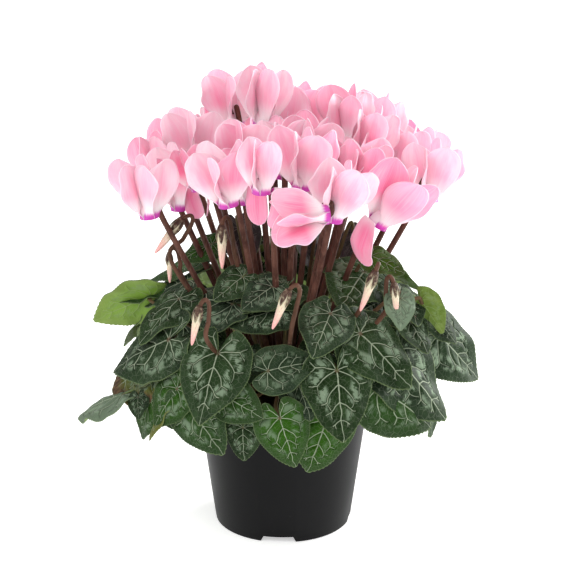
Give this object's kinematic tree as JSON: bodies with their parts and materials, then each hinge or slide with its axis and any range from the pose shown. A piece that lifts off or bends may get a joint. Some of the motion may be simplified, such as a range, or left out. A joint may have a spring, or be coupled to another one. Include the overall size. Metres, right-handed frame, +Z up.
{
  "type": "potted cyclamen",
  "caption": "Florist's cyclamen in a plain conical nursery pot: a mound of marbled heart-shaped leaves and pink blooms with swept-back petals on a bundle of brown stalks",
  "frame": {"origin": "Middle of the pot's foot, at the height of the surface that the pot stands on. It is within about 2.5 mm of the middle of the underside of the part's box.", "axes": "+Z is up, along the pot's axis, and the longest extent. -Y is the side that faces the viewer, and +X is to that viewer's right."},
  "size_m": [0.2673, 0.2433, 0.3096],
  "materials": {
    "pot": "moulded black polypropylene with a faint grain and a soft sheen",
    "soil": "dark peat and fibre, dull and crumbly",
    "stalks": "smooth purple-brown stalk skin with a soft bloom",
    "petals": "thin velvety petal, finely veined, darker to magenta at the mouth",
    "leaves": "thick leaf with pale veins, silver marbling and a satin surface"
  },
  "bodies": {
    "root": {"pot": "pot", "soil": "soil", "corm_and_stalks": "stalks", "bloom_01": "petals", "bloom_02": "petals", "bloom_03": "petals", "bloom_04": "petals", "bloom_05": "petals", "bloom_06": "petals", "bloom_07": "petals", "bloom_08": "petals", "bloom_09": "petals", "bloom_10": "petals", "bloom_11": "petals", "bloom_12": "petals", "bloom_13": "petals", "bloom_14": "petals", "bloom_15": "petals", "bloom_16": "petals", "bloom_17": "petals", "bloom_18": "petals", "bloom_19": "petals", "bloom_20": "petals", "bloom_21": "petals", "bloom_22": "petals", "bloom_23": "petals", "bloom_24": "petals", "bloom_25": "petals", "leaf_01_03_04": "leaves", "leaf_02_10_11": "leaves", "leaf_05_31": "leaves", "leaf_06_07_08_46_50": "leaves", "leaf_09": "leaves", "leaf_12": "leaves", "leaf_13": "leaves", "leaf_14_21_22": "leaves", "leaf_15_17_23": "leaves", "leaf_16": "leaves", "leaf_18": "leaves", "leaf_19": "leaves", "leaf_20": "leaves", "leaf_24": "leaves", "leaf_25": "leaves", "leaf_26": "leaves", "leaf_27": "leaves", "leaf_28_29_30": "leaves", "leaf_32": "leaves", "leaf_33_34_42": "leaves", "leaf_35": "leaves", "leaf_36": "leaves", "leaf_37": "leaves", "leaf_38": "leaves", "leaf_39": "leaves", "leaf_40": "leaves", "leaf_41_45": "leaves", "leaf_43": "leaves", "leaf_44": "leaves", "leaf_47": "leaves", "leaf_48": "leaves", "leaf_49": "leaves"}
  },
  "joints": []
}
